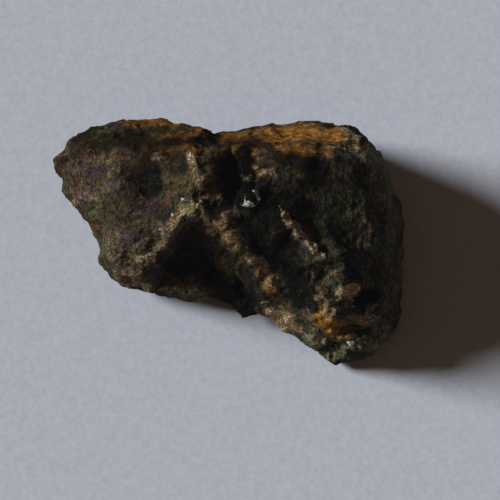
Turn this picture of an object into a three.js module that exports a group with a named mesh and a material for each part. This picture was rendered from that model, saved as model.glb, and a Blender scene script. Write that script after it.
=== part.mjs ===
// A raw purpurite hand specimen: one broken lump of weathered manganese phosphate, lying on
// its flattest fracture face. Millimetres, +Z up, origin on the ground under the middle of the
// stone's bounding box, +X along its length.
//
// The lump is built as a survey of its surface. Landmarks trace the ridges, hollows and ledges;
// they are joined into facets, the facets are divided finely, their edges are worn, and noise
// roughens them. What would reach below the ground is flattened, and the stone lies on it.
import * as THREE from "three";
import { ImprovedNoise } from "three/addons/math/ImprovedNoise.js";
import { mergeVertices } from "three/addons/utils/BufferGeometryUtils.js";

// Driving dimensions of the finished stone.
const LENGTH = 71;
const WIDTH = 49.5;
const HEIGHT = 27;

// How the facets are divided, worn and roughened.
const DIVISIONS = 4; // small edges along each facet edge
const WEAR_PASSES = 2; // each pass rounds the edges a little more
const WEAR = 0.45; // share of the way a vertex moves to its neighbours' middle in one pass
const LUMPS = { height: 1.3, span: 6.5, seed: 0 }; // broad swellings
const CHIPS = { height: 0.5, span: 3.4, seed: 40 }; // sharp-crested knobs between conchoidal chips
const CLEAVAGE = { height: 0.6, span: 4.4, waver: 0.8, seed: 80 }; // steps along the cleavage
const CLEAVAGE_NORMAL = new THREE.Vector3(0.25, 0.93, 0.28);
const STEP_SHARPNESS = 3; // each cleavage step climbs as this power of the way across it
const MEAN_CREST = 0.5; // about what the chips' crests average

// Below the rim the sides draw in to a hip, at this share of the rim's height.
const HIP = { inset: 1.4, share: 0.45 };

const INK = "#3d3129";

// The rim, where the upper surface turns under, clockwise from the left tip.
const RIM = [
  [-36, 16.6, 5],
  [-33.6, 19.2, 6],
  [-30.9, 21.7, 7],
  [-28.1, 23.5, 7.5],
  [-23.8, 24.5, 8],
  [-20.2, 24.5, 8],
  [-16.6, 24.8, 8.5],
  [-13, 24.7, 8.5],
  [-10.6, 23.7, 9],
  [-6.8, 23.1, 9],
  [-4.6, 22.6, 9.5],
  [-2.8, 21.5, 9.5],
  [2.2, 22.1, 9],
  [6.3, 22.7, 9],
  [10.8, 24.1, 9],
  [15.8, 24.3, 9],
  [21, 24.3, 9.5],
  [24.2, 22.6, 10.5],
  [26.3, 20.8, 12],
  [29, 19.6, 12],
  [31, 17.3, 10.5],
  [33, 12.3, 8],
  [34.5, 7, 6.5],
  [35.2, 1.5, 6],
  [35.5, -3.8, 6],
  [35.2, -9.5, 6],
  [34.5, -15, 6],
  [33.7, -19.4, 5],
  [31.5, -21.4, 3],
  [28.5, -23.2, 1.5],
  [25.3, -24.3, 1],
  [21.4, -25.1, 1],
  [19, -23.8, 2.5],
  [15.4, -21.7, 3.5],
  [11.7, -19.1, 4.5],
  [8.4, -16.2, 4.5],
  [5.6, -14.4, 4],
  [2.4, -16.2, 3.5],
  [-0.4, -13.4, 3.5],
  [-5.1, -12.5, 3],
  [-10.1, -12.7, 3],
  [-15.3, -11.1, 4],
  [-20.2, -9.9, 4.5],
  [-24.2, -8, 4.5],
  [-26.2, -4.4, 5],
  [-26.8, -0.5, 4.5],
  [-29.3, 3.5, 4.5],
  [-31.7, 7.2, 5],
  [-32.2, 9.4, 5],
  [-34, 12.3, 5],
  [-35.3, 14.4, 5],
];

// Landmarks of the upper surface, by the feature that they trace.
const RELIEF = {
  leftFlank: [
    [-33, 16.5, 8.5],
    [-31, 12.5, 10],
    [-30, 19, 11],
    [-28, 7.5, 11.5],
    [-26, 21, 12],
    [-26.5, 14, 14.5],
    [-25, 2.5, 11],
    [-24, -2, 12.5],
    [-21.5, -5.5, 12],
    [-18, -7.5, 12],
  ],
  leftCrest: [
    [-22.5, 20, 14],
    [-22.5, 15.5, 17],
    [-23.5, 11.5, 17],
    [-21, 10, 18],
    [-23.5, 7, 16.5],
    [-21.5, 4, 17],
    [-20, 0.5, 16.5],
    [-18, -3, 16.5],
  ],
  leftDell: [
    [-17.5, 13.5, 17.5],
    [-18, 10.5, 17],
    [-16, 9, 16.5],
    [-15.5, 7, 17],
  ],
  saddle: [
    [-18.5, 20, 15],
    [-13, 21, 14],
    [-13.5, 17, 19],
    [-12, 13, 20],
    [-13.5, 9, 19],
    [-12, 5.5, 20.5],
    [-15, 3.5, 19.5],
    [-18, 5.5, 17.5],
    [-16, 0, 18.5],
  ],
  summit: [
    [-7.5, 17, 21.5],
    [-6, 13.5, 25.3],
    [-8, 10.5, 22.5],
    [-5.5, 9.5, 25.2],
    [-7, 6, 24.5],
  ],
  westArete: [
    [-8, 3.5, 24],
    [-9.5, 1.5, 23],
    [-11, -1, 21],
    [-12, -3, 17.5],
    [-13.5, -5.5, 14.5],
  ],
  gulley: [
    [-7.5, 1.5, 18],
    [-9, -1, 13],
    [-6.5, -1.5, 12.5],
    [-11, -4, 9.5],
    [-8, -4.5, 8.5],
    [-4.5, -4, 9.5],
    [-12, -7, 10],
    [-8, -8, 9],
    [-3.5, -8, 8],
    [0.5, -11, 7],
    [-5.5, -10.5, 7],
    [-10.5, -10, 8],
  ],
  hollowSide: [
    [-5, 0, 18.5],
    [-3, -2.5, 16.5],
    [-1.5, -5.5, 11.5],
    [1, -7, 10],
    [2, -8, 7.5],
    [4, -10.5, 6.5],
  ],
  eastArete: [
    [-3.3, 3.2, 24.3],
    [-0.3, 1, 24],
    [1.8, -1.8, 23.3],
    [4, -4.8, 21.8],
    [5.8, -6.8, 19.8],
    [8, -9, 16.5],
    [7.5, -12, 13.5],
    [9.5, -14, 9.5],
  ],
  pit: [
    [-2.5, 14.8, 22.8],
    [-2.2, 11.5, 23.6],
    [1, 10.2, 18],
    [1.6, 12.8, 19.5],
    [0.8, 8, 19.5],
    [-2, 7.8, 23],
  ],
  pitLip: [
    [3.8, 13.5, 24.5],
    [4.5, 10.5, 25.3],
    [3.8, 7.5, 25.5],
    [3.2, 5, 24.5],
    [1, 4, 24],
  ],
  rindSlope: [
    [-9, 20, 16],
    [-4.5, 20, 15],
    [-5, 17, 19.5],
    [0.5, 17, 19.5],
    [3.5, 20.5, 14],
    [5, 17.5, 20],
    [8.5, 21, 14.5],
    [9, 17.5, 20],
    [13.5, 21.5, 14.5],
    [13, 18, 20],
    [19, 21.5, 14],
    [19.5, 19, 18.5],
    [23.5, 20.8, 17],
    [26.3, 19.3, 18.5],
  ],
  rindCrest: [
    [8, 14.5, 25.5],
    [12.5, 14.5, 25.3],
    [17.5, 15, 24.3],
    [21.5, 15, 23.7],
    [26.5, 15.3, 22.3],
  ],
  plateau: [
    [9, 10.5, 25.2],
    [13.5, 10.5, 24.2],
    [18.5, 11, 22.8],
    [7, 5, 23.6],
    [10, 7, 24.6],
  ],
  middleDell: [
    [4, 1.2, 22.8],
    [8, -0.5, 22.3],
    [10.5, -3.5, 21.6],
    [7, -4.2, 19.8],
  ],
  rib: [
    [10.5, 3, 24],
    [12.5, 1, 24.1],
    [14.5, -1.5, 23.7],
    [16.5, -4.5, 23.2],
    [19.5, -5.5, 22.8],
    [22, -6.3, 22],
  ],
  ribLee: [
    [14.5, 1.8, 21.5],
    [16.8, -1, 20.8],
    [18.3, -3, 20.3],
  ],
  rightSlope: [
    [17, 6, 22],
    [22.5, 8.5, 21.4],
    [20.5, 1, 21.4],
    [24, 3.5, 20.4],
    [27, 9.5, 20],
    [29, 5, 18.4],
    [24, -3.8, 20],
    [28, -1, 18.5],
    [31.5, -1, 17],
    [27.5, -8, 18],
    [31.5, -8, 15.5],
    [31.5, 5, 16.5],
    [30.3, 11.5, 17],
  ],
  brokenCorner: [
    [19, -8, 19.3],
    [15.5, -7, 20.8],
    [13, -10.5, 18],
    [17, -11.5, 19],
    [19, -10.5, 19.6],
    [22.5, -10, 21.6],
    [24.8, -8.8, 21.8],
    [26, -6.5, 17.5],
    [25, -12, 14.5],
    [28, -12, 15.5],
    [30.5, -13.5, 13.5],
    [14.5, -14.5, 14.5],
    [18, -15.5, 16.5],
    [19.8, -17.2, 15.5],
    [22.5, -15.5, 17.5],
    [26.5, -16, 15],
    [29, -16, 13.5],
  ],
  ledge: [
    [17, -20.2, 9],
    [20.5, -20, 10],
    [23.8, -18.4, 9.5],
    [23.5, -20.3, 11.5],
    [21.2, -22.4, 6.5],
    [27.5, -18.5, 11],
    [25.3, -23, 10.5],
    [28.6, -21.6, 9],
    [30.5, -18.5, 9],
  ],
};

// Landmarks of the underside. It is flattened where it would be below zero, and rests there.
const UNDERSIDE = {
  foot: [
    [-28, 15, -0.6],
    [-25.5, 7, -1],
    [-22, -1, -1],
    [-16.5, -5.5, -1],
    [-8, -7.5, -1],
    [0, -8.5, -0.8],
    [6.5, -9, -1],
    [12.5, -13, -1],
    [18.5, -18, -1],
    [24, -20, -1],
    [29.5, -17, -1],
    [31.5, -8, -1],
    [31.5, 1, -1],
    [28.5, 9, -1],
    [23.5, 17, -1],
    [14, 18.5, -1],
    [5, 17.5, -1],
    [-4, 17, -1],
    [-12, 19.5, -1],
    [-21, 20.5, -1],
  ],
  scars: [
    [-19, 13, 1.4],
    [-15, 8, 1.8],
    [-11, 12, -1],
    [-10, 1, -1],
    [-1, 8, -1],
    [5, 0, 1.2],
    [10, 6, -1],
    [13, -3, 1.8],
    [19, -8, -1],
    [20, 6, -1],
    [24, -2, 1.2],
  ],
};

const noise = new ImprovedNoise();

// Whether p lies in the circle through a triangle's corners, seen in plan.
function inCircle(p, [a, b, c]) {
  const [ax, ay, bx, by, cx, cy] = [a, b, c].flatMap(([x, y]) => [x - p[0], y - p[1]]);
  const [aa, bb, cc] = [ax * ax + ay * ay, bx * bx + by * by, cx * cx + cy * cy];
  return ax * (by * cc - cy * bb) - ay * (bx * cc - cx * bb) + aa * (bx * cy - cx * by) > 0;
}

// Joins points into triangles that face up, the way Delaunay's rule does: each new point
// empties the circles that it lies in, and is joined to the edges of the hole.
function joinIntoFacets(points) {
  const far = 20 * LENGTH; // the corners of one triangle around all the points
  const all = [...points, [-far, -far, 0], [far, -far, 0], [0, far, 0]];
  const corners = (facet) => facet.map((i) => all[i]);
  let facets = [[points.length, points.length + 1, points.length + 2]];
  points.forEach((point, index) => {
    const hole = new Map();
    facets = facets.filter((facet) => {
      if (!inCircle(point, corners(facet))) return true;
      facet.forEach((from, k) => {
        const to = facet[(k + 1) % 3];
        if (!hole.delete(`${to},${from}`)) hole.set(`${from},${to}`, [from, to, index]);
      });
      return false;
    });
    facets.push(...hole.values());
  });
  return facets.filter((facet) => Math.max(...facet) < points.length).map(corners);
}

// Whether a facet's middle lies inside the rim, by the rim edges that a ray to its right crosses.
function insideRim(facet) {
  const [x, y] = [0, 1].map((k) => (facet[0][k] + facet[1][k] + facet[2][k]) / 3);
  return RIM.reduce((inside, [x1, y1], i) => {
    const [x2, y2] = RIM[(i + 1) % RIM.length];
    const crosses = y1 > y !== y2 > y && x < x1 + ((y - y1) * (x2 - x1)) / (y2 - y1);
    return crosses ? !inside : inside;
  }, false);
}

// The hip: every other point of the rim, drawn in and lowered.
function hip() {
  return RIM.filter((_, i) => i % 2 === 0).map(([x, y, z]) => {
    const share = 1 - HIP.inset / Math.hypot(x, y);
    return [x * share, y * share, z * HIP.share];
  });
}

// The upper surface's facets, and the underside's turned over to face down.
function surveyedFacets() {
  const upper = joinIntoFacets([...RIM, ...Object.values(RELIEF).flat()]);
  const lower = joinIntoFacets([...RIM, ...hip(), ...Object.values(UNDERSIDE).flat()]);
  return [...upper.filter(insideRim), ...lower.filter(insideRim).map((facet) => facet.toReversed())];
}

// Divides each facet into a lattice of small triangles, and welds them into one closed mesh.
function divided(facets) {
  const positions = [];
  for (const facet of facets) {
    const [a, b, c] = facet.map((corner) => new THREE.Vector3(...corner));
    const [ab, ac] = [b.clone().sub(a), c.clone().sub(a)].map((side) => side.divideScalar(DIVISIONS));
    const node = (i, j) => a.clone().addScaledVector(ab, i).addScaledVector(ac, j);
    for (let i = 0; i < DIVISIONS; i++) {
      for (let j = 0; i + j < DIVISIONS; j++) {
        positions.push(...node(i, j), ...node(i + 1, j), ...node(i, j + 1));
        if (i + j + 1 === DIVISIONS) continue;
        positions.push(...node(i + 1, j), ...node(i + 1, j + 1), ...node(i, j + 1));
      }
    }
  }
  const soup = new THREE.BufferGeometry();
  soup.setAttribute("position", new THREE.Float32BufferAttribute(positions, 3));
  return mergeVertices(soup, 1e-3);
}

// Rounds the edges between facets: each vertex moves part of the way to its neighbours' middle.
function worn(geometry) {
  const position = geometry.attributes.position;
  const neighbours = Array.from({ length: position.count }, () => new Set());
  const index = geometry.index.array;
  for (let i = 0; i < index.length; i += 3) {
    for (let k = 0; k < 3; k++) {
      neighbours[index[i + k]].add(index[i + ((k + 1) % 3)]).add(index[i + ((k + 2) % 3)]);
    }
  }
  for (let pass = 0; pass < WEAR_PASSES; pass++) {
    const before = position.clone();
    const point = new THREE.Vector3();
    neighbours.forEach((around, i) => {
      const middle = new THREE.Vector3();
      for (const j of around) middle.add(point.fromBufferAttribute(before, j));
      point.fromBufferAttribute(before, i).lerp(middle.divideScalar(around.size), WEAR);
      position.setXYZ(i, ...point);
    });
  }
  return geometry;
}

// How far the rough surface stands out at a point: broad lumps, sharp-crested chips, and
// cleavage steps, which are a wavering sawtooth across the cleavage planes.
function roughness(point) {
  const wave = (span, seed) => noise.noise(point.x / span + seed, point.y / span, point.z / span);
  const crest = 1 - 2 * Math.abs(wave(CHIPS.span, CHIPS.seed));
  const waver = CLEAVAGE.waver * wave(LUMPS.span, CLEAVAGE.seed);
  const layer = point.dot(CLEAVAGE_NORMAL) / CLEAVAGE.span + waver;
  const step = (layer - Math.floor(layer)) ** STEP_SHARPNESS;
  return (
    LUMPS.height * wave(LUMPS.span, LUMPS.seed) +
    CHIPS.height * (crest - MEAN_CREST) +
    CLEAVAGE.height * (step - 1 / (STEP_SHARPNESS + 1))
  );
}

// Moves each vertex out or in along its normal by the roughness there.
function roughened(geometry) {
  geometry.computeVertexNormals();
  const { position, normal } = geometry.attributes;
  const [point, outward] = [new THREE.Vector3(), new THREE.Vector3()];
  for (let i = 0; i < position.count; i++) {
    point.fromBufferAttribute(position, i);
    outward.fromBufferAttribute(normal, i);
    position.setXYZ(i, ...point.addScaledVector(outward, roughness(point)));
  }
  return geometry;
}

// Flattens the underside at ground level.
function restedFlat(geometry) {
  const position = geometry.attributes.position;
  for (let i = 0; i < position.count; i++) position.setZ(i, Math.max(position.getZ(i), 0));
  return geometry;
}

// Brings the stone to its driving dimensions, with the origin under its middle.
function sized(geometry) {
  geometry.computeBoundingBox();
  const { min, max } = geometry.boundingBox;
  geometry.translate(-(min.x + max.x) / 2, -(min.y + max.y) / 2, 0);
  return geometry.scale(LENGTH / (max.x - min.x), WIDTH / (max.y - min.y), HEIGHT / max.z);
}

const stone = new THREE.Mesh(
  sized(restedFlat(roughened(worn(divided(surveyedFacets()))))),
  new THREE.MeshStandardMaterial({ color: INK, roughness: 0.6, metalness: 0, flatShading: true }),
);
stone.name = "purpurite";

const specimen = new THREE.Group();
specimen.add(stone);

export default specimen;
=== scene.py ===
# %% [markdown]
# # Raw purpurite, a hand specimen
#
# Purpurite is a manganese phosphate that grows as rough masses in pegmatite. Weathering turns its
# outside nearly black, leaves an ochre rind of iron oxide along its seams and bleaches its crests.
# This notebook dresses one broken lump. It starts from a plain faceted solid, refines that until
# chips and fibres show, stains it and paints light, shade and glints on it in strokes, and colours
# it with nodes alone.
#
# Blender's Python noise takes its seed from the clock unless it is given one. A seed is set once,
# here, so that the stone comes out the same on every run.

# %% Load the frame and seed the noise
from math import cos, radians, sin

import bmesh
import bpy
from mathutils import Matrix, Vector, noise
from mathutils.bvhtree import BVHTree
from mathutils.geometry import intersect_point_line
from mathutils.kdtree import KDTree


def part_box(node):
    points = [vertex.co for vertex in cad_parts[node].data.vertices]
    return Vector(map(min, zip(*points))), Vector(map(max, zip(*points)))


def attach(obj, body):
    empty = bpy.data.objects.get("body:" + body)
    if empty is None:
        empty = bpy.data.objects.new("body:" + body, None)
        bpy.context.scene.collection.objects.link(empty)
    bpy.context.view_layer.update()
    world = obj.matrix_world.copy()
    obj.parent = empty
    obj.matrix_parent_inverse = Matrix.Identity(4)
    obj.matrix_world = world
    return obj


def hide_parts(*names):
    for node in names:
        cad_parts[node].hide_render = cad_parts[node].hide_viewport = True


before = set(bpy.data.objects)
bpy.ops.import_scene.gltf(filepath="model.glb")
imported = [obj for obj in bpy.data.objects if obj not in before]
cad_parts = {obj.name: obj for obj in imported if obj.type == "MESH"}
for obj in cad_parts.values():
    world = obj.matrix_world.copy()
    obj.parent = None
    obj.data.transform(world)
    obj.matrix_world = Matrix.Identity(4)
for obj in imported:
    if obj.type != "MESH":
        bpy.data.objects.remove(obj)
noise.seed_set(4)
MM = 0.001
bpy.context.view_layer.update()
LOW, HIGH = (Vector(corner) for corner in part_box("purpurite"))
SIZE = HIGH - LOW
print("stone, mm:", [round(side / MM, 1) for side in SIZE])

# %% [markdown]
# ## The lump
#
# The frame's stone has the right size and the right ridges and hollows, but its facets are over a
# millimetre wide. A sculptor would raise the resolution and carve. Here a copy is welded, cut
# finer and relaxed a little, which rounds the facets' edges and keeps each landmark in its place.

# %% Copy, weld and refine the solid
WELD = 0.01 * MM
CUTS = 3
RELAXING = 3


def relax(surface, passes):
    """Draw each vertex towards its neighbours' middle, a few times over."""
    for _ in range(passes):
        bmesh.ops.smooth_vert(
            surface,
            verts=surface.verts,
            factor=0.5,
            use_axis_x=True,
            use_axis_y=True,
            use_axis_z=True,
        )


stone = bmesh.new()
stone.from_mesh(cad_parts["purpurite"].data)
bmesh.ops.remove_doubles(stone, verts=stone.verts, dist=WELD)
bmesh.ops.subdivide_edges(stone, edges=stone.edges, cuts=CUTS, use_grid_fill=True)
relax(stone, RELAXING)
stone.normal_update()
print("refined lump:", len(stone.verts), "vertices,", len(stone.faces), "faces")

# %% [markdown]
# ## Two small helpers
#
# Much of what follows fades from one zone of the stone to another. A smooth step does the fading,
# and places are given as shares of the stone's own box, so they follow it if its size changes.


# %% Helpers for fading and for places
def smooth_step(low, high, value):
    """Rise softly from 0 at low to 1 at high."""
    way = min(max((value - low) / (high - low), 0.0), 1.0)
    return way * way * (3 - 2 * way)


def box_share(point):
    """Where a point lies in the stone's box, from 0 to 1 along each side."""
    return Vector((point[axis] - LOW[axis]) / SIZE[axis] for axis in range(3))


# %% [markdown]
# ## A brush
#
# Some faces of the stone are calmer than others, and each carries its own stains. That is this
# stone's history, and no formula gives it, so it is laid on with a brush, as a painter would. The
# same brush lays on painted light and painted shade. A stroke has a width in mm, a strength, and
# a path. Its points are percentages of the stone's length from the left and of its width from the
# front. Noise bends the strokes, so that no edge shows where a brush went. A painted image would
# hold the same marks, but it needs an unwrapped surface and shows its seams. Amounts on the
# vertices need neither.
#
# The strokes were first chosen and turned into percentages by another program. Of the 171
# strokes there are now, 23 are as it printed them, and 8 keep its path with another width or
# strength. The other 140 were redrawn or written one by one.

# %% The brush
CORE = 0.35  # share of a stroke's width that gets its full strength
WANDER = 0.9  # how far noise bends a stroke aside, in mm
WANDER_WIDTH = 1.6  # how wide those bends are, in mm


def on_stone(point):
    """A point of a path, from percentages of the stone's box to millimetres in plan."""
    return Vector((LOW[axis] + SIZE[axis] * point[axis] / 100) / MM for axis in range(2)).to_3d()


def canvas():
    """The upward surface as spots in plan, each bent aside a little by noise."""
    spots = KDTree(len(stone.verts))
    for vert in stone.verts:
        if vert.normal.z > 0:
            place = vert.co / MM
            aside = noise.noise_vector(place / WANDER_WIDTH) * WANDER
            spots.insert((place + aside).to_2d().to_3d(), vert.index)
    spots.balance()
    return spots


def painted(strokes, spots):
    """How strongly each vertex is painted, from 0 up to the strength of its strongest stroke."""
    amounts = [0.0] * len(stone.verts)
    for width, strength, path in strokes:
        points = [on_stone(point) for point in path]
        for start, end in zip(points, points[1:]):
            reach = width + (end - start).length / 2
            for spot, index, _ in spots.find_range((start + end) / 2, reach):
                along = min(max(intersect_point_line(spot, start, end)[1], 0), 1)
                off = (spot - start.lerp(end, along)).length
                amount = strength * (1 - smooth_step(CORE * width, width, off))
                amounts[index] = max(amounts[index], amount)
    return amounts


# %% [markdown]
# ## Calm faces
#
# The flat top behind the rib, the dell in the left lobe and the saddle beside it were worn
# smoother than the rest. A sculptor would rub them down with a smoothing brush. Here the surface
# is drawn towards a well relaxed copy of itself, by as much as the strokes say.

# %% Ease the calm faces
CALM_RELAXING = 40
CALM = [
    (5, 1.0, [(19, 79), (24, 72), (29, 62)]),
    (6, 0.8, [(64, 74), (74, 74), (84, 70)]),
    (5, 0.8, [(66, 66), (78, 60)]),
    (4, 0.5, [(88, 60), (90, 40)]),
]
calm = painted(CALM, canvas())
relaxed = stone.copy()
relax(relaxed, CALM_RELAXING)
for vert, eased, share in zip(stone.verts, relaxed.verts, calm):
    vert.co = vert.co.lerp(eased.co, share)
relaxed.free()
stone.normal_update()
print("calm share of the surface:", f"{sum(calm) / len(calm):.0%}")

# %% [markdown]
# ## Fracture
#
# The mineral breaks in small conchoidal chips. Each is a nearly flat face with a tilt of its own,
# and Voronoi cells with a random tilt per cell look just like that. Fractal noise adds grain. The
# rind along the back lies in thin sheets, and the right face is fibrous, so there the noise is
# stretched. The surface fades to calm at the ground, where the stone has to rest flat.

# %% Sizes of the relief, in millimetres
CHIP_SIZES = ((0.42, 4.6, 3.1), (0.24, 1.7, 11.7))  # height and width, and a seed
TILT_SPREAD = 7.3  # spaces the cells out in the noise, so that neighbours tilt apart
WARP, WARP_WIDTH = 0.7, 2.5  # bends the chips' edges
CALMING = 0.6  # share of the chips' height that a calm face loses
GRAIN_HEIGHT, GRAIN_WIDTH = 0.13, 0.9
SHEET_HEIGHT, SHEET_SPANS = 0.22, (9, 1.1, 1.3)
FIBRE_HEIGHT, FIBRE_SPANS = 0.15, (0.9, 8, 2)
print("tallest chips, mm:", [tall for tall, _, _ in CHIP_SIZES])

# %% Where the sheets, the fibres and the relief as a whole set in
SHEETED = (0.78, 0.9)  # shares of the width, from the front
FIBROUS = (0.8, 0.9)  # shares of the length, from the left
FOOT = (0.2, 1.6)  # heights over the ground, in mm
FOOT_RELIEF = 0.15  # share of the relief that is left at the ground


# %% Height of the broken surface
def chips(place, width, seed):
    """Height of a surface of flat chips at a place in millimetres."""
    moved = place / width + Vector((seed, seed, seed))
    centre = noise.voronoi(moved)[1][0]
    tilt = noise.noise_vector(centre * TILT_SPREAD)
    return (moved - centre).dot(tilt)


def stretched(place, spans):
    """Noise whose features are as long as the spans along the three axes."""
    return noise.noise(Vector(part / span for part, span in zip(place, spans)))


def relief(place, share, calmness):
    """Height of the broken surface at a place in millimetres."""
    bent = place + noise.noise_vector(place / WARP_WIDTH) * WARP
    height = sum(tall * chips(bent, width, seed) for tall, width, seed in CHIP_SIZES)
    height *= 1 - CALMING * calmness
    height += GRAIN_HEIGHT * noise.fractal(place / GRAIN_WIDTH, 1.0, 2.0, 2)
    height += SHEET_HEIGHT * smooth_step(*SHEETED, share.y) * stretched(place, SHEET_SPANS)
    return height + FIBRE_HEIGHT * smooth_step(*FIBROUS, share.x) * stretched(place, FIBRE_SPANS)


# %% Roughen the surface
heights = [
    relief(vert.co / MM, box_share(vert.co), calmness)
    for vert, calmness in zip(stone.verts, calm)
]
for vert, height in zip(stone.verts, heights):
    free = FOOT_RELIEF + (1 - FOOT_RELIEF) * smooth_step(*FOOT, vert.co.z / MM)
    vert.co += vert.normal * height * free * MM
    vert.co = Vector(min(max(vert.co[axis], LOW[axis]), HIGH[axis]) for axis in range(3))
stone.normal_update()
print("relief, mm:", round(min(heights), 2), "to", round(max(heights), 2))

# %% [markdown]
# ## Crests and hollows
#
# Handling rubs the crests of a specimen pale, and its hollows are darkened, with dirt and with
# painted shade. Both can be measured on the mesh and handed to the material as attributes. A crest
# stands out from a smoothed copy of the stone. A hollow is where rays sent out over the surface
# soon meet the stone again.

# %% Measure how sheltered each point is
SHELTER_REACH = 7 * MM
SHELTER_LIFT = 0.05  # how far in mm a ray starts clear of the surface
# nine rays spread all round, in turn low, middling and steep
RAY_ANGLES = [(radians(40 * count), radians(15 + 30 * (count % 3))) for count in range(9)]
RAYS = [
    Vector((cos(turn) * cos(rise), sin(turn) * cos(rise), sin(rise)))
    for turn, rise in RAY_ANGLES
]
tree = BVHTree.FromBMesh(stone)


def shelter(vert):
    """Share of the rays over a vertex that the stone itself stops."""
    stand = Vector((0, 0, 1)).rotation_difference(vert.normal)
    start = vert.co + vert.normal * SHELTER_LIFT * MM
    hits = [tree.ray_cast(start, stand @ ray, SHELTER_REACH)[0] for ray in RAYS]
    return sum(hit is not None for hit in hits) / len(RAYS)


shelters = [shelter(vert) for vert in stone.verts]
print("mean shelter:", round(sum(shelters) / len(shelters), 2))

# %% Measure how far each point stands out as a crest
CREST_RELAXING = 14
smoothed = stone.copy()
relax(smoothed, CREST_RELAXING)
lifts = [vert.co - bare.co for vert, bare in zip(stone.verts, smoothed.verts)]
crests = [lift.dot(vert.normal) / MM for lift, vert in zip(lifts, stone.verts)]
smoothed.free()
print("crests stand out by up to, mm:", round(max(crests), 2))

# %% [markdown]
# ## Stains, and painted light and shade
#
# The same brush now lays on the stains, kind by kind, and with them painted shade, painted light
# and painted glints. Most of them are films thinner than a hair, so they need no shape of their
# own. They could be materials of their own on separate faces, but then their borders would be
# hard. As amounts on the vertices they can overlap and fade.

# %% [markdown]
# ### Rind
#
# Iron oxide coats the back edge in a band that is richest on the right, a knob above the front
# tip, and a few bits of the broken ground beside it.

# %% Strokes of the rind
RIND = [
    # the back edge, left of its notch
    (1.2, 0.4, [(20, 98), (22, 97)]),
    (1.8, 0.9, [(24, 97), (27, 98), (32, 98), (35, 97)]),
    (1.6, 0.6, [(31, 91), (37, 90), (44, 92)]),
    (1.3, 0.5, [(28, 84), (35, 84), (44, 83)]),
    # the back edge, right of its notch
    (2.2, 1.0, [(48, 90), (54, 91), (59, 91)]),
    (1.4, 0.5, [(49, 84), (54, 83), (57, 82)]),
    (3.4, 1, [(61, 90), (67, 91), (73, 91), (79, 91)]),
    (2.2, 0.55, [(64, 83), (70, 82), (77, 82)]),
    (1.8, 0.35, [(82, 90), (85, 88), (87, 85)]),
    # beside the large pit and on the right-hand ridge
    (1.0, 0.35, [(53, 80), (58, 78)]),
    (1.2, 0.5, [(57, 74), (61, 72)]),
    (1.8, 0.5, [(47, 56), (50, 49), (53, 42)]),
    (1.8, 0.6, [(59, 37), (61, 31), (62, 27)]),
    # above the front tip and on the broken ground
    (2.6, 0.95, [(76, 19), (78, 16), (81, 13.5)]),
    (1.4, 0.28, [(84, 19), (87, 17), (89, 19)]),
    (1.4, 0.4, [(82, 29), (84, 32)]),
]
print("strokes of the rind:", len(RIND))

# %% [markdown]
# ### Crust
#
# A pale crust of altered phosphate clings to the summit, to both ridges that run down from it, to
# the rib, and to the broken ground and the ledge at the front. It breaks away in scales, which
# the material cuts out of the strokes later.

# %% Strokes of the crust on the summit, the ridges and the rib
RIDGE_CRUST = [
    # the summit
    (1.6, 0.5, [(40.2, 79), (41.2, 73), (42.2, 68)]),
    (1.3, 0.8, [(39.8, 80.5), (40.6, 75.5)]),
    # the left-hand ridge
    (2.2, 0.48, [(42, 63), (38, 58), (35, 53), (33, 48)]),
    (0.9, 0.6, [(41.5, 62), (38, 57), (35, 52), (33, 47)]),
    (1.8, 0.65, [(33, 48), (29, 44), (26, 42)]),
    # the right-hand ridge
    (1.3, 0.75, [(47.5, 55), (49.5, 50), (51.5, 46)]),
    (1.2, 0.7, [(49, 56.5), (52, 53)]),
    (1.3, 1.0, [(56, 41), (58, 40)]),
    (1.4, 0.9, [(58, 41), (60.6, 36), (61.4, 31.5)]),
    (1.4, 0.8, [(60, 24), (63, 18), (66, 13)]),
    (1.8, 0.9, [(63, 22), (66, 19), (69, 15)]),
    # the rib
    (1.2, 1.2, [(65, 56.5), (67, 53.5), (70, 49), (73, 44), (75, 41)]),
    (1.5, 0.5, [(74, 39), (76, 36), (79, 35)]),
]
print("strokes of crust on the ridges:", len(RIDGE_CRUST))

# %% Strokes of the crust elsewhere
PATCH_CRUST = [
    # the broken ground and the ledge
    (1.7, 0.95, [(75, 26), (78, 23), (77, 19)]),
    (1.5, 1.2, [(80, 26), (82.5, 28), (84.5, 29)]),
    (1.0, 0.7, [(82, 23), (84, 25)]),
    (0.9, 0.8, [(88, 21), (90, 23)]),
    (1.3, 0.4, [(79, 6), (82, 7), (87, 9)]),
    # around the large pit
    (0.8, 1.3, [(55, 62), (56, 61)]),
    (0.9, 0.8, [(58, 67), (58, 62)]),
    (0.7, 0.4, [(53, 72), (57, 70)]),
    (0.8, 0.8, [(58, 74), (62, 73)]),
    # the right end of the rind
    (0.6, 0.9, [(77, 84), (81, 84), (85, 84)]),
    (1.4, 0.9, [(81.5, 92), (84, 90.5), (85, 88)]),
    # thinly over the left lobe
    (2.6, 0.25, [(7, 80), (13, 81), (19, 76)]),
    (2.4, 0.3, [(18, 46), (24, 41), (28, 41)]),
    (1.0, 0.5, [(30, 81), (33, 80)]),
    (0.8, 0.6, [(6, 66), (7, 62)]),
]
print("strokes of crust elsewhere:", len(PATCH_CRUST))
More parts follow.
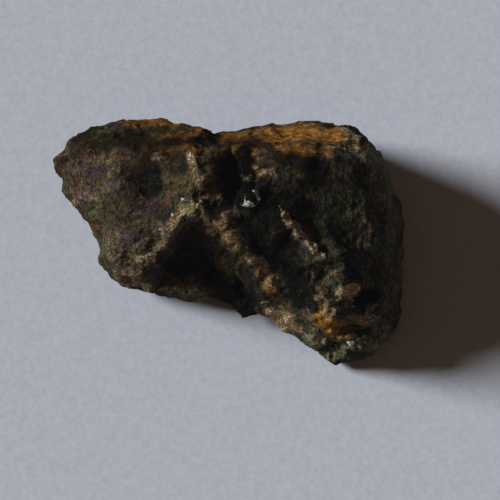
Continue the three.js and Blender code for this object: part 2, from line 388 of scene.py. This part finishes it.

# %% [markdown]
# ### Black films, and painted shade
#
# Manganese oxide blackens the pits, the triangular hollow, the cracks and the seams of the rind.
# In the pits, the triangular hollow, the dell and the saddle the strokes also paint the shade that
# falls there. A sheltered spot is not always blackened, so the measured shelter can't place the
# films alone.

# %% Strokes of the black films and the painted shade in the pits and hollows
HOLLOW_FILMS_AND_SHADE = [
    # the large pit
    (3.5, 0.4, [(50, 82), (51, 75), (53, 66)]),
    (2.4, 1.7, [(54, 82), (55, 75), (55.5, 67)]),
    (1.2, 1.4, [(53, 66), (53, 61)]),
    # the triangular hollow
    (4.2, 0.6, [(39, 48), (42, 40), (45, 33)]),
    (4.0, 1.1, [(46, 34), (50, 28), (54, 25)]),
    (2.2, 0.2, [(32, 29), (40, 27), (45, 25)]),
    # between the right-hand ridge and the rib
    (3.8, 1.0, [(57, 62), (62, 58), (65, 54)]),
    (3.2, 0.85, [(56, 54), (61, 48), (65, 42)]),
    (3.6, 1.0, [(65, 46), (67, 40), (70, 27)]),
    # behind the rib and to its right
    (3.2, 0.8, [(61, 63), (70, 62)]),
    (1.4, 0.7, [(71, 55), (74, 50), (76, 43)]),
    (2.2, 0.8, [(78, 54), (80, 46)]),
    (1.6, 0.6, [(78, 47), (81, 41)]),
    # the small pits of the broken ground
    (2.2, 1.6, [(85.5, 26.5), (89, 26.5)]),
    (1.6, 0.9, [(87, 21.5), (90, 21.5)]),
    (1.5, 1.2, [(82, 35), (85, 34)]),
    (1.6, 0.9, [(83, 35), (86, 33)]),
    (1.2, 0.5, [(80, 37), (82, 33)]),
    (1.3, 0.9, [(73, 30), (73.5, 21)]),
    # the dell and the saddle
    (3.5, 1.15, [(27.5, 77), (28.5, 73.5), (29, 69)]),
    (2.6, 0.7, [(30.5, 60), (34, 57)]),
    (3, 0.25, [(29, 68), (33, 64)]),
    (2.2, 0.6, [(21, 67), (24, 63)]),
]
print("strokes of film in the hollows:", len(HOLLOW_FILMS_AND_SHADE))

# %% Strokes of the black films along the back and over the flat top
BACK_FILMS = [
    # the back of the left lobe
    (2.2, 0.9, [(7, 90), (12, 94)]),
    (3.4, 0.95, [(9, 84), (15, 88), (23, 89), (29, 85)]),
    (1.6, 0.5, [(27, 97), (36, 96)]),
    (1.2, 0.6, [(27, 93), (38, 93)]),
    (3.0, 0.7, [(33, 84), (36, 78), (37, 76), (37, 85)]),
    # the seams of the rind
    (2.6, 0.55, [(31, 91), (45, 90), (59, 90)]),
    (2.0, 1.0, [(33, 87), (40, 87), (47, 87), (57, 87)]),
    (1.5, 0.7, [(57, 85), (61, 84)]),
    (1.2, 0.5, [(66, 84), (80, 83)]),
    (1.0, 0.8, [(78, 95.5), (82, 94.5)]),
    # the notch in the back edge
    (1.0, 0.9, [(44, 93), (47, 92)]),
    (2.0, 0.7, [(44, 90), (50, 89)]),
    (1.2, 0.8, [(44, 96), (50, 94), (56, 95)]),
    # the flat top
    (1.6, 0.7, [(62, 80), (72, 79)]),
    (2.6, 0.8, [(64, 79), (72, 77)]),
    (3.0, 0.3, [(62, 74), (75, 72), (84, 74)]),
    (2.4, 0.4, [(86, 67), (87, 61)]),
]
print("strokes of film along the back:", len(BACK_FILMS))

# %% Strokes of the black films that part the crust on the right-hand ridge and the ledge
RIDGE_FILMS = [
    (1.6, 1.4, [(44.5, 60), (46, 56)]),
    (1.3, 0.8, [(46.5, 58), (50.5, 61)]),
    (1.6, 0.95, [(55, 55), (56, 50), (57, 46)]),
    (1.3, 1.1, [(52.5, 42), (55.5, 46)]),
    (1.5, 0.7, [(54, 37), (57, 31), (60, 26)]),
    (1.2, 0.6, [(63.5, 31), (65, 27)]),
    (1.0, 0.8, [(58, 24), (63, 27.5)]),
    (0.8, 0.8, [(64, 22), (68, 19)]),
    (1.5, 0.6, [(51, 20), (55, 20)]),
    (1.1, 0.95, [(75, 6), (79, 7.5), (82.5, 9.8), (89, 14)]),
]
print("strokes of film on the ridge:", len(RIDGE_FILMS))

# %% [markdown]
# ### Olive and violet
#
# Weathered phosphate turns olive in places. Elsewhere the mineral's own purple shows through.
# Both are scattered all over the skin by noise, and the strokes only say where there is more.

# %% Strokes of olive
OLIVE = [
    # the left lobe
    (3.2, 0.8, [(13, 92), (18, 89), (23, 89)]),
    (2.4, 0.7, [(13, 63), (16, 65), (20, 63)]),
    (2.4, 0.6, [(13, 50), (15, 44)]),
    (2, 0.5, [(29, 75), (31, 70)]),
    (2.4, 0.45, [(29, 56), (33.5, 59)]),
    # the ridges and the front edge
    (2.6, 0.6, [(37, 59), (41, 61), (44, 63)]),
    (2.2, 0.7, [(49, 50), (54, 42), (60, 33)]),
    (3, 0.6, [(27, 30), (36, 28), (43, 28)]),
    # the broken ground, the ledge and the flat top
    (2.4, 0.6, [(74, 35), (77, 33)]),
    (1.8, 0.8, [(80, 27), (84, 30)]),
    (2.4, 0.6, [(79, 6), (82, 7)]),
    (2.6, 0.5, [(74, 65), (76, 57)]),
    (2, 0.5, [(81, 68), (82, 62)]),
]
print("strokes of olive:", len(OLIVE))

# %% Strokes of violet
VIOLET = [
    # the left lobe
    (3.4, 0.4, [(8, 81), (12, 75), (9, 69)]),
    (2.6, 0.5, [(17, 70), (21, 69)]),
    (2.4, 0.5, [(21, 51), (24, 49)]),
    (2.6, 0.6, [(21, 84), (25, 82)]),
    (3, 0.5, [(28, 60), (32, 60), (33, 55)]),
    # beside the rib and at the front
    (2.4, 0.4, [(56, 52), (59, 49)]),
    (2, 0.4, [(67, 54), (70, 47)]),
    (2, 0.4, [(67, 17), (70, 13)]),
    (1.6, 0.5, [(71, 25), (75, 21)]),
]
print("strokes of violet:", len(VIOLET))

# %% [markdown]
# ### Painted light, and paler faces
#
# Most of these strokes lighten faces that the window leaves in shade: that is painted light. The
# others make parts of the skin paler. A pale colour laid over them would hide their grain, so
# these strokes only lighten what is there already.

# %% Strokes of painted light and paler faces on the left and the ridges
LEFT_PAINTED_LIGHT_AND_PALING = [
    # the left lobe
    (4, 0.5, [(18, 48), (22, 42), (28, 38)]),
    (3, 1.5, [(20, 36), (26, 32)]),
    (3, 0.6, [(9, 68), (13, 63)]),
    (2.4, 0.5, [(17.5, 71), (21.5, 70)]),
    (2.5, 0.6, [(19, 79), (23, 77)]),
    (2.5, 0.8, [(10, 84), (13, 82)]),
    # the left-hand ridge, and the foot of the triangular hollow
    (2.2, 1.0, [(26.5, 46), (29, 47)]),
    (2.4, 0.5, [(39, 58), (35, 51), (30, 45)]),
    (1.5, 1.1, [(36.5, 51), (33.5, 46)]),
    (1.5, 1.6, [(44, 58), (40.5, 60), (38, 53)]),
    (3.0, 2.8, [(38, 31), (44, 28)]),
    # the right of the summit, and the right-hand ridge
    (2.0, 2.3, [(44.8, 70), (45.5, 64)]),
    (1.8, 0.3, [(56, 40), (59, 37)]),
    (1.5, 0.8, [(59.5, 39), (61.5, 35)]),
    (1.8, 0.6, [(62, 20), (65, 17)]),
]
print("strokes of bleach on the left:", len(LEFT_PAINTED_LIGHT_AND_PALING))

# %% Strokes of painted light and paler faces on the right
RIGHT_PAINTED_LIGHT_AND_PALING = [
    # the rib
    (1.6, 1.0, [(65, 56), (69, 50), (73, 44)]),
    (2.2, 1.0, [(72, 56), (75, 50), (77, 45)]),
    (1.5, 2.5, [(71, 51.5), (73.5, 47)]),
    (1.8, 0.8, [(71, 38), (73.5, 36)]),
    # the flat top and the right end of the rind
    (5, 0.5, [(64, 72), (72, 70), (80, 70)]),
    (2.2, 0.9, [(80, 87), (84, 85)]),
    (2.6, 0.5, [(85, 79), (88, 74)]),
    # the right face
    (4, 2.2, [(90, 82), (92, 74), (93, 66)]),
    (4, 1.6, [(95, 60), (96, 40), (95, 20)]),
    (5, 1.0, [(88, 60), (90, 40), (90, 30)]),
    (2.5, 1.0, [(86, 34), (88, 30)]),
    # the front
    (2.2, 1.9, [(81, 29), (84, 28)]),
    (3.4, 1.1, [(75, 18), (80, 13.5)]),
    (5, 3.0, [(86, 14), (92, 12)]),
    (3, 2.8, [(74, 12), (77.5, 5)]),
    (2.0, 0.5, [(80, 4.5), (84, 5)]),
]
print("strokes of bleach on the right:", len(RIGHT_PAINTED_LIGHT_AND_PALING))

# %% [markdown]
# ### Quartz, and painted glints
#
# Small grains of quartz from the pegmatite still stick in the crests and in the largest pit. The
# glints they would throw are painted highlights: crystals this small would be lost among the
# chips, so each is only a pale spot, and noise gives it a broken outline.

# %% Strokes of the quartz grains, painted as glints
QUARTZ_AND_GLINTS = [
    # the large pit, where the brightest one sits
    (1.2, 1.0, [(55, 61.8), (56, 60.6)]),
    (0.9, 1.0, [(57.4, 65), (58.2, 64)]),
    # the rib
    (0.5, 0.8, [(64.4, 59.8), (64.8, 59)]),
    (0.6, 0.9, [(69.6, 49.5), (70.4, 48)]),
    # the summit and the left-hand ridge
    (0.5, 0.8, [(39.8, 79.5), (40.6, 78.5)]),
    (0.5, 0.8, [(37.6, 63), (38.2, 62.4)]),
    (0.5, 0.7, [(34.8, 57.4), (35.2, 57)]),
    (0.5, 0.8, [(31.6, 51.6), (32, 51)]),
    (0.6, 0.8, [(28, 43.6), (29, 43)]),
    # the right-hand ridge
    (0.5, 0.8, [(48.6, 54.4), (49.2, 53.8)]),
    (0.5, 0.8, [(57, 40.6), (57.6, 40)]),
    (0.5, 0.8, [(60, 34), (60.6, 32.6)]),
    (0.5, 0.8, [(65, 14.8), (65.6, 14.2)]),
    # the broken ground and the ledge
    (0.5, 0.8, [(83.6, 22.6), (84, 22)]),
    (0.5, 0.8, [(84.6, 15.2), (85, 14.6)]),
    (0.5, 0.8, [(90.4, 18.8), (91, 18.4)]),
    (0.5, 0.8, [(83.4, 8.4), (84, 8.2)]),
    # the right end of the rind
    (0.4, 0.7, [(78, 84), (78.6, 84)]),
    (0.4, 0.7, [(80.4, 84), (81, 84)]),
    (0.4, 0.7, [(83, 84), (83.6, 84)]),
]
print("strokes of quartz:", len(QUARTZ_AND_GLINTS))

# %% [markdown]
# ### All the stains and the painted light together
#
# Each kind is painted into a list of its own, with one amount for each vertex.

# %% Paint the stains and the painted light and shade
SHOWS = 0.3  # the amount from which a stain is plain to see
STAINS_AND_PAINTED_LIGHT = {
    "rind": RIND,
    "crust": RIDGE_CRUST + PATCH_CRUST,
    "black_film_and_shade": HOLLOW_FILMS_AND_SHADE + BACK_FILMS + RIDGE_FILMS,
    "olive": OLIVE,
    "violet": VIOLET,
    "painted_light_and_paling": LEFT_PAINTED_LIGHT_AND_PALING + RIGHT_PAINTED_LIGHT_AND_PALING,
    "quartz_and_glint": QUARTZ_AND_GLINTS,
}
spots = canvas()
stains_and_painted_light = {name: painted(strokes, spots) for name, strokes in STAINS_AND_PAINTED_LIGHT.items()}
for name, amounts in stains_and_painted_light.items():
    print(name, "covers", f"{sum(amount > SHOWS for amount in amounts) / len(amounts):.0%}")

# %% [markdown]
# ## The piece
#
# The finished surface becomes one object that stands for the whole stone. Its measurements, stains
# and painted light travel with its vertices as attributes, so any material can read them. Two more
# go with them: how far each vertex lies in the band along the back, and in the face on the right.
# Those two zones have fibres and colours of their own.

# %% Gather what was measured
BACK_BAND = (0.72, 0.84)  # shares of the width, from the front
RIGHT_FACE = (0.55, 0.8)  # shares of the length, from the left
measured = {
    "shelter": shelters,
    "crest": crests,
    "back_band": [smooth_step(*BACK_BAND, box_share(vert.co).y) for vert in stone.verts],
    "right_face": [smooth_step(*RIGHT_FACE, box_share(vert.co).x) for vert in stone.verts],
}
print("attributes:", ", ".join([*measured, *stains_and_painted_light]))

# %% Make the piece
mesh = bpy.data.meshes.new("raw_purpurite")
stone.to_mesh(mesh)
mesh.shade_smooth()
for name, values in {**measured, **stains_and_painted_light}.items():
    mesh.attributes.new(name, "FLOAT", "POINT").data.foreach_set("value", values)
stone.free()
lump = bpy.data.objects.new("raw_purpurite", mesh)
bpy.context.scene.collection.objects.link(lump)
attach(lump, "root")
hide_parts("purpurite")
print("piece:", lump.name, "with", len(mesh.polygons), "faces")

# %% [markdown]
# ## Arithmetic on sockets
#
# A material is a network of nodes, and most of its links do sums. A small class that wraps a
# socket lets those sums be written as Python expressions. Each operator adds one Math node.


# %% A socket that can be used in sums
class Wire:
    """An output socket on which Python arithmetic adds Math nodes."""

    def __init__(self, bench, socket):
        self.bench = bench
        self.socket = socket

    def maths(self, operation, *terms):
        """Add a Math node that takes the terms in order."""
        return self.bench.node("ShaderNodeMath", {"operation": operation}, dict(enumerate(terms)))

    def __add__(self, other):
        return self.maths("ADD", self, other)

    def __sub__(self, other):
        return self.maths("SUBTRACT", self, other)

    def __rsub__(self, other):
        return self.maths("SUBTRACT", other, self)

    def __mul__(self, other):
        return self.maths("MULTIPLY", self, other)

    __radd__ = __add__
    __rmul__ = __mul__


# %% [markdown]
# All other nodes come from one method, which takes a node's type, its settings, and the values or
# links of its inputs. The few kinds that a mineral needs are then one short method each.


# %% A bench on which a material is put together
class Bench:
    """A material's node tree, and the methods that add its nodes."""

    def __init__(self, name):
        self.material = bpy.data.materials.new(name)
        self.material.use_nodes = True
        self.tree = self.material.node_tree
        self.shader = self.tree.nodes["Principled BSDF"]

    def connect(self, value, socket):
        """Link a wire to a socket, or set the socket to a plain value."""
        if isinstance(value, Wire):
            self.tree.links.new(value.socket, socket)
        else:
            socket.default_value = value

    def node(self, kind, settings, inputs, output=0):
        """Add a node, make its settings first, and then fill its inputs."""
        made = self.tree.nodes.new(kind)
        for name, value in settings.items():
            setattr(made, name, value)
        for key, value in inputs.items():
            self.connect(value, made.inputs[key])
        return Wire(self, made.outputs[output])

    def finish(self, **inputs):
        """Give the shader its inputs, named with underscores for spaces."""
        for name, value in inputs.items():
            self.connect(value, self.shader.inputs[name.replace("_", " ")])

    def tally(self, finish):
        """Print how large the network is, once a finish is in it."""
        print(f"{finish}: {len(self.tree.nodes)} nodes so far")

    def attribute(self, name):
        """A measurement, a stain or an amount of painted light that the vertices carry."""
        return self.node("ShaderNodeAttribute", {"attribute_name": name}, {}, "Fac")

    def clouds(self, place, width, seed, detail=4, roughness=0.65):
        """Fractal noise from 0 to 1, with features about as wide as the width."""
        inputs = {"Vector": place, "W": seed, "Scale": 1 / width}
        inputs.update({"Detail": detail, "Roughness": roughness})
        return self.node("ShaderNodeTexNoise", {"noise_dimensions": "4D"}, inputs, "Fac")

    def bent(self, place, width, reach, seed):
        """A place that noise of a given width pushes aside, up to about half the reach."""
        inputs = {"Vector": place, "W": seed, "Scale": 1 / width, "Detail": 2}
        push = self.node("ShaderNodeTexNoise", {"noise_dimensions": "4D"}, inputs, "Color")
        inputs = {0: push, 1: (reach, reach, reach), 2: place}
        return self.node("ShaderNodeVectorMath", {"operation": "MULTIPLY_ADD"}, inputs)

    def drawn_out(self, place, heading, length):
        """A place for noise that is drawn out to several times its length along a heading."""
        inputs = {"Vector": place, "Rotation": (0, 0, radians(heading)), "Scale": (length, 1, 1)}
        return self.node("ShaderNodeMapping", {"vector_type": "TEXTURE"}, inputs)

    def step(self, value, low, high):
        """Rise softly from 0 at low to 1 at high."""
        inputs = {"Value": value, "From Min": low, "From Max": high}
        return self.node("ShaderNodeMapRange", {"interpolation_type": "SMOOTHSTEP"}, inputs)

    def blend(self, share, first, second):
        """The first colour at a share of 0, and the second at 1."""
        # a Mix node holds sockets for several kinds of data, and those at 6 and 7 take colours
        inputs = {0: share, 6: first, 7: second}
        return self.node("ShaderNodeMix", {"data_type": "RGBA"}, inputs, 2)

    def tinted(self, tint, factors):
        """A colour with its red, green and blue each multiplied by its own factor."""
        return self.node("ShaderNodeVectorMath", {"operation": "MULTIPLY"}, {0: tint, 1: factors})

    def dim(self, tint, factor):
        """A colour made darker, or lighter where the factor is over 1."""
        return self.node("ShaderNodeVectorMath", {"operation": "SCALE"}, {0: tint, "Scale": factor})


def colour(red, green, blue):
    """An opaque colour, as linear shares of light."""
    return (red, green, blue, 1.0)


# %% [markdown]
# ## The skin
#
# Close to, the dark skin is a fine mottle of brown, olive, russet and violet specks. Several
# fields of noise, from broad patches down to grain under half a millimetre, each decide one
# thing. The hues are mixed first, and then made lighter or darker by the grain and the fibres.
# Fibres are noise drawn out along a heading. Broader noise bends them first, because straight
# ones that all run alike look woven.

# %% Noise fields
BACK_HEADING, LOBE_HEADING, FACE_HEADING = 2, 50, 95  # in degrees from the stone's length
bench = Bench("purpurite_stone")
place = bench.node("ShaderNodeTexCoord", {}, {}, "Object")
patches = bench.clouds(place, 5 * MM, seed=1)
mottle = bench.clouds(place, 3.2 * MM, seed=2, detail=3, roughness=0.6)
slant = bench.drawn_out(place, LOBE_HEADING, 2)
flecks = bench.clouds(slant, 1.8 * MM, seed=3, detail=3, roughness=0.6)
grain = bench.clouds(place, 0.9 * MM, seed=4, roughness=0.75)
fine = bench.clouds(place, 0.4 * MM, seed=5, detail=3, roughness=0.7)
dust_and_sparkle = bench.clouds(place, 0.55 * MM, seed=6, detail=2)
bench.tally("noise fields")

# %% Fibres run along the back, slant over the left lobe and cross the right face
back_band = bench.attribute("back_band")
right_face = bench.attribute("right_face")
wavy = bench.bent(place, 4 * MM, 1.8 * MM, seed=10)
along = bench.clouds(
    bench.drawn_out(wavy, BACK_HEADING, 3.5), 0.8 * MM, seed=7, roughness=0.75
)
slanting = bench.clouds(bench.drawn_out(wavy, LOBE_HEADING, 4), 0.5 * MM, seed=8)
crossing = bench.clouds(bench.drawn_out(wavy, FACE_HEADING, 5), 0.5 * MM, seed=9)
fibres = slanting + (crossing - slanting) * right_face
fibres = fibres + (along - fibres) * back_band
bench.tally("fibres")

# %% Hues of the skin
NEAR_BLACK = colour(0.018, 0.014, 0.009)
BROWN = colour(0.039, 0.029, 0.016)
OLIVE_GREEN = colour(0.026, 0.030, 0.011)
RUSSET = colour(0.060, 0.024, 0.012)
DULL_PURPLE = colour(0.039, 0.023, 0.030)
skin = bench.blend(bench.step(patches, 0.38, 0.62), NEAR_BLACK, BROWN)
olive = bench.step(mottle + 0.3 * bench.attribute("olive"), 0.42, 0.65)
skin = bench.blend(olive * 0.9, skin, OLIVE_GREEN)
russet = bench.step(flecks, 0.46, 0.70)
skin = bench.blend(russet * 0.8, skin, RUSSET)
violet = bench.step(0.25 * bench.attribute("violet") - flecks, -0.50, -0.28)
skin = bench.blend(violet * 0.65, skin, DULL_PURPLE)
bench.tally("hues of the skin")

# %% Light and dark over the skin, and painted shade colour: the right face, which the window leaves in shade, is tinted cooler
SHADE_COOLING = (0.75, 1.0, 1.1)
# painted shade colour: a cooler tint on the right face, which lies in the window's shade
skin = bench.blend(right_face * 0.8, skin, bench.tinted(skin, SHADE_COOLING))
skin = bench.dim(skin, 0.5 + bench.step(grain, 0.35, 0.65))
skin = bench.dim(skin, 0.55 + 0.9 * bench.step(fine, 0.35, 0.65))
skin = bench.dim(skin, 0.5 + bench.step(fibres, 0.38, 0.62))
bench.tally("light and dark")

# %% [markdown]
# Rubbed crests are paler than the skin, and so is a scatter of pale specks that is partly dust
# and partly painted sparkle. The crests were measured on the mesh, and could be rubbed pale evenly.
# Real wear is patchy, so noise breaks both of them up.

# %% Rubbed crests, and specks of dust and painted sparkle
RUBBED_BROWN = colour(0.15, 0.11, 0.075)
DUST_AND_SPARKLE_BUFF = colour(0.26, 0.20, 0.15)
rubbed = bench.step(bench.attribute("crest"), 0.04, 0.25) * bench.step(fine, 0.4, 0.6)
skin = bench.blend(rubbed * 0.3, skin, RUBBED_BROWN)
# pale specks, partly dust and partly painted sparkle
specks = bench.step(dust_and_sparkle, 0.66, 0.74) * bench.step(patches, 0.4, 0.6)
skin = bench.blend(specks * 0.6, skin, DUST_AND_SPARKLE_BUFF)
bench.tally("rubbed crests and dust")

# %% [markdown]
# ## Rind, films and crust
#
# The rind is ochre with umber between its fibres, and olive where it is thin. The black films lie
# over the rind and the skin alike and let little of their colour through, and in the hollows they
# are also painted shade. The crust lies over all of them. It is a broken cream, in small scales,
# with white specks that are partly painted sparkle, and with the quartz grains and their painted
# glints held in it. Noise frays the edge of every stroke, because these layers all wear off bit by
# bit.

# %% Rind
UMBER = colour(0.05, 0.020, 0.004)
OCHRE = colour(0.23, 0.105, 0.014)
THIN_OLIVE = colour(0.075, 0.052, 0.010)
PALE_OCHRE = colour(0.22, 0.125, 0.045)
rind_share = bench.step(bench.attribute("rind") + 1.2 * (along - 0.5), 0.1, 0.85)
rind = bench.blend(bench.step(grain, 0.35, 0.7), UMBER, OCHRE)
rind = bench.blend(bench.step(mottle, 0.5, 0.65) * 0.6, rind, THIN_OLIVE)
rind = bench.blend(bench.step(patches, 0.45, 0.65) * 0.3, rind, PALE_OCHRE)
rind = bench.dim(rind, 0.4 + 1.1 * bench.step(along, 0.36, 0.62))
skin = bench.blend(rind_share, skin, rind)
bench.tally("rind")

# %% Black films and painted shade, which let little colour through, and least where they are thick
# the cold tint is partly painted shade: it gives the films in the shaded hollows a cool colour
COLD_FILM_AND_SHADE = colour(0.18, 0.20, 0.24)
WARM_FILM = colour(0.24, 0.20, 0.15)
film = bench.blend(back_band, COLD_FILM_AND_SHADE, WARM_FILM)
ragged = (grain - 0.5) + (mottle - 0.5) + 1.2 * (fibres - 0.5)
# dark film, and in the pits, the hollow and the dell painted shade
black_film_and_shade = bench.step(bench.attribute("black_film_and_shade") + ragged, 0.2, 1.0)
skin = bench.blend(black_film_and_shade, skin, bench.tinted(skin, film))
skin = bench.dim(skin, 1 - 0.85 * bench.step(bench.attribute("black_film_and_shade"), 1.0, 1.6))
bench.tally("black films")

# %% Crust, painted light and paler faces, and quartz with painted glints
CRUST_TAN = colour(0.080, 0.054, 0.026)
CRUST_CREAM = colour(0.25, 0.18, 0.10)
CRUST_SPARKLE_WHITE = colour(0.60, 0.50, 0.38)
QUARTZ_GLINT_GREY = colour(0.50, 0.50, 0.50)
flaked = 1.4 * (fibres - 0.5) + 0.8 * (grain - 0.5) + 1.2 * (fine - 0.5)
crust_share = bench.step(bench.attribute("crust") + flaked, 0.2, 1.05)
crust = bench.blend(bench.step(fine, 0.35, 0.7), CRUST_TAN, CRUST_CREAM)
# white specks in the crust, partly painted sparkle
crust = bench.blend(bench.step(dust_and_sparkle, 0.57, 0.68), crust, CRUST_SPARKLE_WHITE)
skin = bench.blend(crust_share * 0.8, skin, crust)
# painted light: lightens faces that lie in the window's shade, and pales the skin elsewhere
skin = bench.dim(skin, 1 + bench.attribute("painted_light_and_paling"))
# painted highlight: pale quartz spots stand for the glints of the grains
quartz_and_glint = bench.step(bench.attribute("quartz_and_glint") + 2.4 * (fine - 0.5), 0.7, 0.95)
skin = bench.blend(quartz_and_glint, skin, QUARTZ_GLINT_GREY)
bench.tally("crust and quartz")

# %% [markdown]
# ## Finish
#
# Hollows are darkened, with dark dirt and with painted shade. The surface is dull, so its specular
# level is low and its roughness high, and a bump from the same grain and fibres gives it the last
# tenth of a millimetre of relief. Even the deepest hollow of a real stone never looks quite black,
# because the air and the eye scatter a little light over it. A trace of cold emission stands for
# that. It is too faint to show on a lit face.

# %% Dirt and painted shade in the hollows
DIRT_AND_SHADE = (0.0075, 0.008, 0.009)
dirt_and_shade = bench.dim(DIRT_AND_SHADE, 0.5 + bench.step(grain, 0.35, 0.65))
# painted shade with dirt: the more sheltered a point, the darker it is painted
skin = bench.blend(bench.step(bench.attribute("shelter"), 0.35, 0.9) * 0.8, skin, dirt_and_shade)
bench.tally("dirt_and_shade")

# %% Bump, dullness and haze
BUMP_HEIGHT = 0.3 * MM
HAZE = colour(0.0022, 0.0026, 0.0031)
bumps = {"Height": grain + 0.5 * fine + 0.6 * fibres, "Distance": BUMP_HEIGHT, "Strength": 1.0}
bench.finish(
    Base_Color=skin,
    Roughness=0.45 + 0.35 * fine,
    Specular_IOR_Level=0.01,
    Emission_Color=HAZE,
    Emission_Strength=1.0,
    Normal=bench.node("ShaderNodeBump", {}, bumps, "Normal"),
)
mesh.materials.append(bench.material)
bench.tally("the whole stone")

# %% [markdown]
# ## The paper
#
# A specimen is best shown on a plain sheet of matt, slightly bluish paper. It is a stage, not a
# part of the stone. Paper is flat, so one face is enough, and noise as fine as its fibres keeps
# it from looking like a screen.

# %% Paper
PAPER_REACH = 0.6
PAPER_BLUE = (0.495, 0.530, 0.610)
sheet = bmesh.new()
bmesh.ops.create_grid(sheet, x_segments=1, y_segments=1, size=PAPER_REACH)
paper_mesh = bpy.data.meshes.new("paper")
sheet.to_mesh(paper_mesh)
sheet.free()
paper = bpy.data.objects.new("paper", paper_mesh)
bpy.context.scene.collection.objects.link(paper)
print("paper, m across:", 2 * PAPER_REACH)

# %% Finish of the paper
paper_bench = Bench("paper")
paper_place = paper_bench.node("ShaderNodeTexCoord", {}, {}, "Object")
fibre = paper_bench.clouds(paper_place, 1.2 * MM, seed=1, detail=6, roughness=0.8)
paper_tint = paper_bench.dim(PAPER_BLUE, 0.7 + 0.6 * fibre)
paper_bench.finish(Base_Color=paper_tint, Roughness=0.9, Specular_IOR_Level=0.1)
paper_mesh.materials.append(paper_bench.material)
paper_bench.tally("paper")

# %% [markdown]
# ## Light
#
# Low light from a window on the left rakes over the stone and draws out its relief. The window is
# wide, so the shadow's edge is soft. An area lamp could stand in for it, but its light weakens
# with distance. A sun lamp lights the paper evenly, and one angle sets how soft its shadow is.
# What the room gives back is faint and warm.

# %% Window
WINDOW_HEIGHT = radians(22.5)
WINDOW_SLANT = radians(17.5)
WINDOW_BREADTH = radians(19)
WINDOW_STRENGTH = 5.8
window_light = bpy.data.lights.new("window", "SUN")
window_light.energy = WINDOW_STRENGTH
window_light.angle = WINDOW_BREADTH
window = bpy.data.objects.new("window", window_light)
bpy.context.scene.collection.objects.link(window)
level = Vector((cos(WINDOW_SLANT), -sin(WINDOW_SLANT), 0)) * cos(WINDOW_HEIGHT)
falling = level - Vector((0, 0, sin(WINDOW_HEIGHT)))
window.rotation_euler = falling.to_track_quat("-Z", "Y").to_euler()
print("light falls along:", [round(part, 2) for part in falling])

# %% Room
ROOM_GLOW = colour(1.0, 0.66, 0.43)
ROOM_STRENGTH = 0.07
world = bpy.data.worlds.new("room")
bpy.context.scene.world = world
world.use_nodes = True
room = world.node_tree.nodes["Background"].inputs
room["Color"].default_value = ROOM_GLOW
room["Strength"].default_value = ROOM_STRENGTH
bpy.context.scene.view_settings.view_transform = "Standard"
print("strength of the room and the window:", ROOM_STRENGTH, WINDOW_STRENGTH)

# %% [markdown]
# ## Camera
#
# The camera looks almost straight down, from the front, as over a table. Its distance is several
# times the stone's length, so that the near parts are not swollen.

# %% Camera
CAMERA_HEIGHT = radians(85)
CAMERA_REACH = 0.35
FRAME_WIDTH = 0.1
SENSOR_WIDTH = 36
LOOK_AT = Vector((0.0042, -0.0016, 0.006))
eye = bpy.data.cameras.new("eye")
eye.sensor_width = SENSOR_WIDTH
eye.lens = SENSOR_WIDTH * CAMERA_REACH / FRAME_WIDTH
camera = bpy.data.objects.new("eye", eye)
bpy.context.scene.collection.objects.link(camera)
towards = Vector((0, -cos(CAMERA_HEIGHT), sin(CAMERA_HEIGHT)))
camera.location = LOOK_AT + towards * CAMERA_REACH
camera.rotation_euler = (-towards).to_track_quat("-Z", "Y").to_euler()
bpy.context.scene.camera = camera
print("lens, mm:", round(eye.lens))
